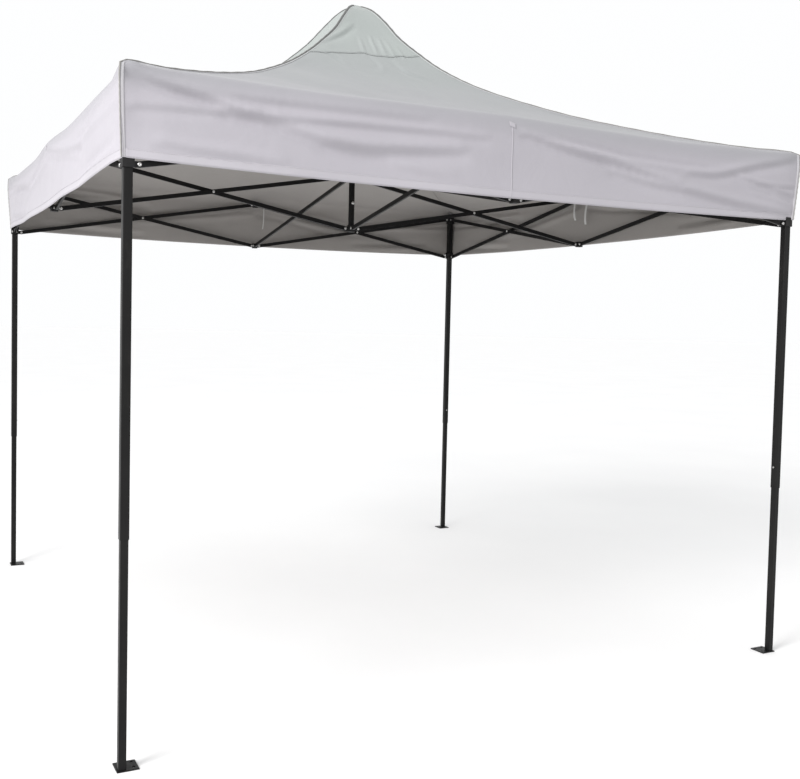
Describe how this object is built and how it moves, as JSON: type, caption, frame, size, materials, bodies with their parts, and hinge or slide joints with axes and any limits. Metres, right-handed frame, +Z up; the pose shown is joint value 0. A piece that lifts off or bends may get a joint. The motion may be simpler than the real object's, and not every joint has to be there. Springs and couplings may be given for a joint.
{
  "type": "pop up canopy",
  "caption": "Folding square pop-up canopy: four telescoping legs, a scissor-truss frame, a centre mast and a peaked fabric top with a valance all round.",
  "frame": {"origin": "on the ground, on the mast's axis, at the centre of the four legs", "axes": "+Z up along the mast, -Y towards the front side, +X towards the right side"},
  "size_m": [2.984, 2.984, 3.0529],
  "materials": {
    "frame_steel": "black powder coat, slightly textured, satin",
    "moulded_joint": "black moulded nylon, matt, with steel rivets",
    "bright_steel": "zinc plated spring steel",
    "canopy_fabric": "light grey coated polyester, plain weave"
  },
  "bodies": {
    "centre_mast": {"mast_tube": "frame_steel", "mast_cap": "moulded_joint", "upper_hub": "moulded_joint"},
    "front_inner_bar_down": {"front_inner_bar_down": "frame_steel"},
    "front_inner_bar_up": {"front_inner_bar_up": "frame_steel"},
    "front_truss_a_down": {"front_truss_a_down": "frame_steel"},
    "front_truss_a_up": {"front_truss_a_up": "frame_steel"},
    "front_truss_b_down": {"front_truss_b_down": "frame_steel"},
    "front_truss_b_up": {"front_truss_b_up": "frame_steel"},
    "front_mid_top": {"front_mid_top_joint": "moulded_joint"},
    "front_mid_low": {"front_mid_low_joint": "moulded_joint"},
    "leg_fl": {"outer_leg_fl": "frame_steel", "leg_bracket_fl": "moulded_joint"},
    "slider_fl": {"slider_fl": "moulded_joint"},
    "inner_leg_fl": {"inner_leg_fl": "frame_steel"},
    "snap_button_fl": {"snap_button_fl": "bright_steel"},
    "canopy_front": {"canopy_panel_front": "canopy_fabric"},
    "lower_hub": {"lower_hub": "moulded_joint"},
    "right_inner_bar_down": {"right_inner_bar_down": "frame_steel"},
    "right_inner_bar_up": {"right_inner_bar_up": "frame_steel"},
    "right_truss_a_down": {"right_truss_a_down": "frame_steel"},
    "right_truss_a_up": {"right_truss_a_up": "frame_steel"},
    "right_truss_b_down": {"right_truss_b_down": "frame_steel"},
    "right_truss_b_up": {"right_truss_b_up": "frame_steel"},
    "right_mid_top": {"right_mid_top_joint": "moulded_joint"},
    "right_mid_low": {"right_mid_low_joint": "moulded_joint"},
    "leg_fr": {"outer_leg_fr": "frame_steel", "leg_bracket_fr": "moulded_joint"},
    "slider_fr": {"slider_fr": "moulded_joint"},
    "inner_leg_fr": {"inner_leg_fr": "frame_steel"},
    "snap_button_fr": {"snap_button_fr": "bright_steel"},
    "canopy_right": {"canopy_panel_right": "canopy_fabric"},
    "back_inner_bar_down": {"back_inner_bar_down": "frame_steel"},
    "back_inner_bar_up": {"back_inner_bar_up": "frame_steel"},
    "back_truss_a_down": {"back_truss_a_down": "frame_steel"},
    "back_truss_a_up": {"back_truss_a_up": "frame_steel"},
    "back_truss_b_down": {"back_truss_b_down": "frame_steel"},
    "back_truss_b_up": {"back_truss_b_up": "frame_steel"},
    "back_mid_top": {"back_mid_top_joint": "moulded_joint"},
    "back_mid_low": {"back_mid_low_joint": "moulded_joint"},
    "leg_br": {"outer_leg_br": "frame_steel", "leg_bracket_br": "moulded_joint"},
    "slider_br": {"slider_br": "moulded_joint"},
    "inner_leg_br": {"inner_leg_br": "frame_steel"},
    "snap_button_br": {"snap_button_br": "bright_steel"},
    "canopy_back": {"canopy_panel_back": "canopy_fabric"},
    "left_inner_bar_down": {"left_inner_bar_down": "frame_steel"},
    "left_inner_bar_up": {"left_inner_bar_up": "frame_steel"},
    "left_truss_a_down": {"left_truss_a_down": "frame_steel"},
    "left_truss_a_up": {"left_truss_a_up": "frame_steel"},
    "left_truss_b_down": {"left_truss_b_down": "frame_steel"},
    "left_truss_b_up": {"left_truss_b_up": "frame_steel"},
    "left_mid_top": {"left_mid_top_joint": "moulded_joint"},
    "left_mid_low": {"left_mid_low_joint": "moulded_joint"},
    "leg_bl": {"outer_leg_bl": "frame_steel", "leg_bracket_bl": "moulded_joint"},
    "slider_bl": {"slider_bl": "moulded_joint"},
    "inner_leg_bl": {"inner_leg_bl": "frame_steel"},
    "snap_button_bl": {"snap_button_bl": "bright_steel"},
    "canopy_left": {"canopy_panel_left": "canopy_fabric"}
  },
  "joints": [
    {"name": "frame_fold", "type": "hinge", "parent": "centre_mast", "child": "front_inner_bar_down", "pos_m": [0.006, -0.033, 2.195], "axis": [1, 0, 0], "range_deg": [0, 73.48], "deforming": ["canopy_panel_front", "canopy_panel_right", "canopy_panel_back", "canopy_panel_left"]},
    {"name": "front_inner_cross", "type": "hinge", "parent": "front_inner_bar_down", "child": "front_inner_bar_up", "pos_m": [0, -0.733, 2.065], "axis": [1, 0, 0], "range_deg": [-146.98, 0]},
    {"name": "front_mid_top_pivot", "type": "hinge", "parent": "front_inner_bar_up", "child": "front_mid_top", "pos_m": [-0.006, -1.433, 2.195], "axis": [1, 0, 0], "range_deg": [0, 73.5]},
    {"name": "front_mid_low_pivot", "type": "hinge", "parent": "front_inner_bar_down", "child": "front_mid_low", "pos_m": [0.006, -1.433, 1.935], "axis": [1, 0, 0], "range_deg": [-73.5, 0]},
    {"name": "lower_hub_pivot", "type": "hinge", "parent": "front_inner_bar_up", "child": "lower_hub", "pos_m": [-0.006, -0.033, 1.935], "axis": [1, 0, 0], "range_deg": [0, 73.5]},
    {"name": "front_truss_a_fold", "type": "hinge", "parent": "front_mid_top", "child": "front_truss_a_up", "pos_m": [-0.025, -1.466, 2.195], "axis": [0, -1, 0], "range_deg": [0, 73.5]},
    {"name": "front_truss_a_cross", "type": "hinge", "parent": "front_truss_a_up", "child": "front_truss_a_down", "pos_m": [-0.725, -1.46, 2.065], "axis": [0, -1, 0], "range_deg": [-146.98, 0]},
    {"name": "leg_fl_pivot", "type": "hinge", "parent": "front_truss_a_down", "child": "leg_fl", "pos_m": [-1.425, -1.454, 2.195], "axis": [0, -1, 0], "range_deg": [0, 73.5]},
    {"name": "slider_fl_pivot", "type": "hinge", "parent": "front_truss_a_up", "child": "slider_fl", "pos_m": [-1.425, -1.466, 1.935], "axis": [0, -1, 0], "range_deg": [-73.5, 0]},
    {"name": "front_truss_b_fold", "type": "hinge", "parent": "front_mid_top", "child": "front_truss_b_down", "pos_m": [0.025, -1.466, 2.195], "axis": [0, 1, 0], "range_deg": [0, 73.5]},
    {"name": "front_truss_b_cross", "type": "hinge", "parent": "front_truss_b_down", "child": "front_truss_b_up", "pos_m": [0.725, -1.46, 2.065], "axis": [0, 1, 0], "range_deg": [-146.98, 0]},
    {"name": "canopy_front_fold", "type": "hinge", "parent": "centre_mast", "child": "canopy_front", "pos_m": [0, -0.02, 3.03], "axis": [1, 0, 0], "range_deg": [0, 33.09]},
    {"name": "leg_slide_fl", "type": "slide", "parent": "leg_fl", "child": "inner_leg_fl", "axis": [0, 0, 1], "range_m": [0, 0.72], "deforming": ["snap_button_fl"]},
    {"name": "button_press_fl", "type": "slide", "parent": "inner_leg_fl", "child": "snap_button_fl", "axis": [0, -1, 0], "range_m": [0, 0.005], "stiffness_N_per_m": 1500, "springref_m": -0.002},
    {"name": "right_inner_fold", "type": "hinge", "parent": "centre_mast", "child": "right_inner_bar_down", "pos_m": [0.033, 0.006, 2.195], "axis": [0, 1, 0], "range_deg": [0, 73.5]},
    {"name": "right_inner_cross", "type": "hinge", "parent": "right_inner_bar_down", "child": "right_inner_bar_up", "pos_m": [0.733, 0, 2.065], "axis": [0, 1, 0], "range_deg": [-146.98, 0]},
    {"name": "right_mid_top_pivot", "type": "hinge", "parent": "right_inner_bar_up", "child": "right_mid_top", "pos_m": [1.433, -0.006, 2.195], "axis": [0, 1, 0], "range_deg": [0, 73.5]},
    {"name": "right_mid_low_pivot", "type": "hinge", "parent": "right_inner_bar_down", "child": "right_mid_low", "pos_m": [1.433, 0.006, 1.935], "axis": [0, 1, 0], "range_deg": [-73.5, 0]},
    {"name": "right_truss_a_fold", "type": "hinge", "parent": "right_mid_top", "child": "right_truss_a_up", "pos_m": [1.466, -0.025, 2.195], "axis": [1, 0, 0], "range_deg": [0, 73.5]},
    {"name": "right_truss_a_cross", "type": "hinge", "parent": "right_truss_a_up", "child": "right_truss_a_down", "pos_m": [1.46, -0.725, 2.065], "axis": [1, 0, 0], "range_deg": [-146.98, 0]},
    {"name": "leg_fr_pivot", "type": "hinge", "parent": "right_truss_a_down", "child": "leg_fr", "pos_m": [1.454, -1.425, 2.195], "axis": [1, 0, 0], "range_deg": [0, 73.5]},
    {"name": "slider_fr_pivot", "type": "hinge", "parent": "right_truss_a_up", "child": "slider_fr", "pos_m": [1.466, -1.425, 1.935], "axis": [1, 0, 0], "range_deg": [-73.5, 0]},
    {"name": "right_truss_b_fold", "type": "hinge", "parent": "right_mid_top", "child": "right_truss_b_down", "pos_m": [1.466, 0.025, 2.195], "axis": [-1, 0, 0], "range_deg": [0, 73.5]},
    {"name": "right_truss_b_cross", "type": "hinge", "parent": "right_truss_b_down", "child": "right_truss_b_up", "pos_m": [1.46, 0.725, 2.065], "axis": [-1, 0, 0], "range_deg": [-146.98, 0]},
    {"name": "canopy_right_fold", "type": "hinge", "parent": "centre_mast", "child": "canopy_right", "pos_m": [0.02, 0, 3.03], "axis": [0, 1, 0], "range_deg": [0, 33.09]},
    {"name": "leg_slide_fr", "type": "slide", "parent": "leg_fr", "child": "inner_leg_fr", "axis": [0, 0, 1], "range_m": [0, 0.72], "deforming": ["snap_button_fr"]},
    {"name": "button_press_fr", "type": "slide", "parent": "inner_leg_fr", "child": "snap_button_fr", "axis": [1, 0, 0], "range_m": [0, 0.005], "stiffness_N_per_m": 1500, "springref_m": -0.002},
    {"name": "back_inner_fold", "type": "hinge", "parent": "centre_mast", "child": "back_inner_bar_down", "pos_m": [-0.006, 0.033, 2.195], "axis": [-1, 0, 0], "range_deg": [0, 73.5]},
    {"name": "back_inner_cross", "type": "hinge", "parent": "back_inner_bar_down", "child": "back_inner_bar_up", "pos_m": [0, 0.733, 2.065], "axis": [-1, 0, 0], "range_deg": [-146.98, 0]},
    {"name": "back_mid_top_pivot", "type": "hinge", "parent": "back_inner_bar_up", "child": "back_mid_top", "pos_m": [0.006, 1.433, 2.195], "axis": [-1, 0, 0], "range_deg": [0, 73.5]},
    {"name": "back_mid_low_pivot", "type": "hinge", "parent": "back_inner_bar_down", "child": "back_mid_low", "pos_m": [-0.006, 1.433, 1.935], "axis": [-1, 0, 0], "range_deg": [-73.5, 0]},
    {"name": "back_truss_a_fold", "type": "hinge", "parent": "back_mid_top", "child": "back_truss_a_up", "pos_m": [0.025, 1.466, 2.195], "axis": [0, 1, 0], "range_deg": [0, 73.5]},
    {"name": "back_truss_a_cross", "type": "hinge", "parent": "back_truss_a_up", "child": "back_truss_a_down", "pos_m": [0.725, 1.46, 2.065], "axis": [0, 1, 0], "range_deg": [-146.98, 0]},
    {"name": "leg_br_pivot", "type": "hinge", "parent": "back_truss_a_down", "child": "leg_br", "pos_m": [1.425, 1.454, 2.195], "axis": [0, 1, 0], "range_deg": [0, 73.5]},
    {"name": "slider_br_pivot", "type": "hinge", "parent": "back_truss_a_up", "child": "slider_br", "pos_m": [1.425, 1.466, 1.935], "axis": [0, 1, 0], "range_deg": [-73.5, 0]},
    {"name": "back_truss_b_fold", "type": "hinge", "parent": "back_mid_top", "child": "back_truss_b_down", "pos_m": [-0.025, 1.466, 2.195], "axis": [0, -1, 0], "range_deg": [0, 73.5]},
    {"name": "back_truss_b_cross", "type": "hinge", "parent": "back_truss_b_down", "child": "back_truss_b_up", "pos_m": [-0.725, 1.46, 2.065], "axis": [0, -1, 0], "range_deg": [-146.98, 0]},
    {"name": "canopy_back_fold", "type": "hinge", "parent": "centre_mast", "child": "canopy_back", "pos_m": [0, 0.02, 3.03], "axis": [-1, 0, 0], "range_deg": [0, 33.09]},
    {"name": "leg_slide_br", "type": "slide", "parent": "leg_br", "child": "inner_leg_br", "axis": [0, 0, 1], "range_m": [0, 0.72], "deforming": ["snap_button_br"]},
    {"name": "button_press_br", "type": "slide", "parent": "inner_leg_br", "child": "snap_button_br", "axis": [0, 1, 0], "range_m": [0, 0.005], "stiffness_N_per_m": 1500, "springref_m": -0.002},
    {"name": "left_inner_fold", "type": "hinge", "parent": "centre_mast", "child": "left_inner_bar_down", "pos_m": [-0.033, -0.006, 2.195], "axis": [0, -1, 0], "range_deg": [0, 73.5]},
    {"name": "left_inner_cross", "type": "hinge", "parent": "left_inner_bar_down", "child": "left_inner_bar_up", "pos_m": [-0.733, 0, 2.065], "axis": [0, -1, 0], "range_deg": [-146.98, 0]},
    {"name": "left_mid_top_pivot", "type": "hinge", "parent": "left_inner_bar_up", "child": "left_mid_top", "pos_m": [-1.433, 0.006, 2.195], "axis": [0, -1, 0], "range_deg": [0, 73.5]},
    {"name": "left_mid_low_pivot", "type": "hinge", "parent": "left_inner_bar_down", "child": "left_mid_low", "pos_m": [-1.433, -0.006, 1.935], "axis": [0, -1, 0], "range_deg": [-73.5, 0]},
    {"name": "left_truss_a_fold", "type": "hinge", "parent": "left_mid_top", "child": "left_truss_a_up", "pos_m": [-1.466, 0.025, 2.195], "axis": [-1, 0, 0], "range_deg": [0, 73.5]},
    {"name": "left_truss_a_cross", "type": "hinge", "parent": "left_truss_a_up", "child": "left_truss_a_down", "pos_m": [-1.46, 0.725, 2.065], "axis": [-1, 0, 0], "range_deg": [-146.98, 0]},
    {"name": "leg_bl_pivot", "type": "hinge", "parent": "left_truss_a_down", "child": "leg_bl", "pos_m": [-1.454, 1.425, 2.195], "axis": [-1, 0, 0], "range_deg": [0, 73.5]},
    {"name": "slider_bl_pivot", "type": "hinge", "parent": "left_truss_a_up", "child": "slider_bl", "pos_m": [-1.466, 1.425, 1.935], "axis": [-1, 0, 0], "range_deg": [-73.5, 0]},
    {"name": "left_truss_b_fold", "type": "hinge", "parent": "left_mid_top", "child": "left_truss_b_down", "pos_m": [-1.466, -0.025, 2.195], "axis": [1, 0, 0], "range_deg": [0, 73.5]},
    {"name": "left_truss_b_cross", "type": "hinge", "parent": "left_truss_b_down", "child": "left_truss_b_up", "pos_m": [-1.46, -0.725, 2.065], "axis": [1, 0, 0], "range_deg": [-146.98, 0]},
    {"name": "canopy_left_fold", "type": "hinge", "parent": "centre_mast", "child": "canopy_left", "pos_m": [-0.02, 0, 3.03], "axis": [0, -1, 0], "range_deg": [0, 33.09]},
    {"name": "leg_slide_bl", "type": "slide", "parent": "leg_bl", "child": "inner_leg_bl", "axis": [0, 0, 1], "range_m": [0, 0.72], "deforming": ["snap_button_bl"]},
    {"name": "button_press_bl", "type": "slide", "parent": "inner_leg_bl", "child": "snap_button_bl", "axis": [-1, 0, 0], "range_m": [0, 0.005], "stiffness_N_per_m": 1500, "springref_m": -0.002}
  ],
  "couplings": [
    {"joint": "front_inner_cross", "follows": "frame_fold", "ratio": -2},
    {"joint": "front_mid_top_pivot", "follows": "frame_fold", "ratio": 1},
    {"joint": "front_mid_low_pivot", "follows": "frame_fold", "ratio": -1},
    {"joint": "lower_hub_pivot", "follows": "frame_fold", "ratio": 1},
    {"joint": "front_truss_a_fold", "follows": "frame_fold", "ratio": 1},
    {"joint": "front_truss_a_cross", "follows": "frame_fold", "ratio": -2},
    {"joint": "leg_fl_pivot", "follows": "frame_fold", "ratio": 1},
    {"joint": "slider_fl_pivot", "follows": "frame_fold", "ratio": -1},
    {"joint": "front_truss_b_fold", "follows": "frame_fold", "ratio": 1},
    {"joint": "front_truss_b_cross", "follows": "frame_fold", "ratio": -2},
    {"joint": "canopy_front_fold", "follows": "frame_fold", "ratio": 0.45},
    {"joint": "right_inner_fold", "follows": "frame_fold", "ratio": 1},
    {"joint": "right_inner_cross", "follows": "frame_fold", "ratio": -2},
    {"joint": "right_mid_top_pivot", "follows": "frame_fold", "ratio": 1},
    {"joint": "right_mid_low_pivot", "follows": "frame_fold", "ratio": -1},
    {"joint": "right_truss_a_fold", "follows": "frame_fold", "ratio": 1},
    {"joint": "right_truss_a_cross", "follows": "frame_fold", "ratio": -2},
    {"joint": "leg_fr_pivot", "follows": "frame_fold", "ratio": 1},
    {"joint": "slider_fr_pivot", "follows": "frame_fold", "ratio": -1},
    {"joint": "right_truss_b_fold", "follows": "frame_fold", "ratio": 1},
    {"joint": "right_truss_b_cross", "follows": "frame_fold", "ratio": -2},
    {"joint": "canopy_right_fold", "follows": "frame_fold", "ratio": 0.45},
    {"joint": "back_inner_fold", "follows": "frame_fold", "ratio": 1},
    {"joint": "back_inner_cross", "follows": "frame_fold", "ratio": -2},
    {"joint": "back_mid_top_pivot", "follows": "frame_fold", "ratio": 1},
    {"joint": "back_mid_low_pivot", "follows": "frame_fold", "ratio": -1},
    {"joint": "back_truss_a_fold", "follows": "frame_fold", "ratio": 1},
    {"joint": "back_truss_a_cross", "follows": "frame_fold", "ratio": -2},
    {"joint": "leg_br_pivot", "follows": "frame_fold", "ratio": 1},
    {"joint": "slider_br_pivot", "follows": "frame_fold", "ratio": -1},
    {"joint": "back_truss_b_fold", "follows": "frame_fold", "ratio": 1},
    {"joint": "back_truss_b_cross", "follows": "frame_fold", "ratio": -2},
    {"joint": "canopy_back_fold", "follows": "frame_fold", "ratio": 0.45},
    {"joint": "left_inner_fold", "follows": "frame_fold", "ratio": 1},
    {"joint": "left_inner_cross", "follows": "frame_fold", "ratio": -2},
    {"joint": "left_mid_top_pivot", "follows": "frame_fold", "ratio": 1},
    {"joint": "left_mid_low_pivot", "follows": "frame_fold", "ratio": -1},
    {"joint": "left_truss_a_fold", "follows": "frame_fold", "ratio": 1},
    {"joint": "left_truss_a_cross", "follows": "frame_fold", "ratio": -2},
    {"joint": "leg_bl_pivot", "follows": "frame_fold", "ratio": 1},
    {"joint": "slider_bl_pivot", "follows": "frame_fold", "ratio": -1},
    {"joint": "left_truss_b_fold", "follows": "frame_fold", "ratio": 1},
    {"joint": "left_truss_b_cross", "follows": "frame_fold", "ratio": -2},
    {"joint": "canopy_left_fold", "follows": "frame_fold", "ratio": 0.45}
  ]
}
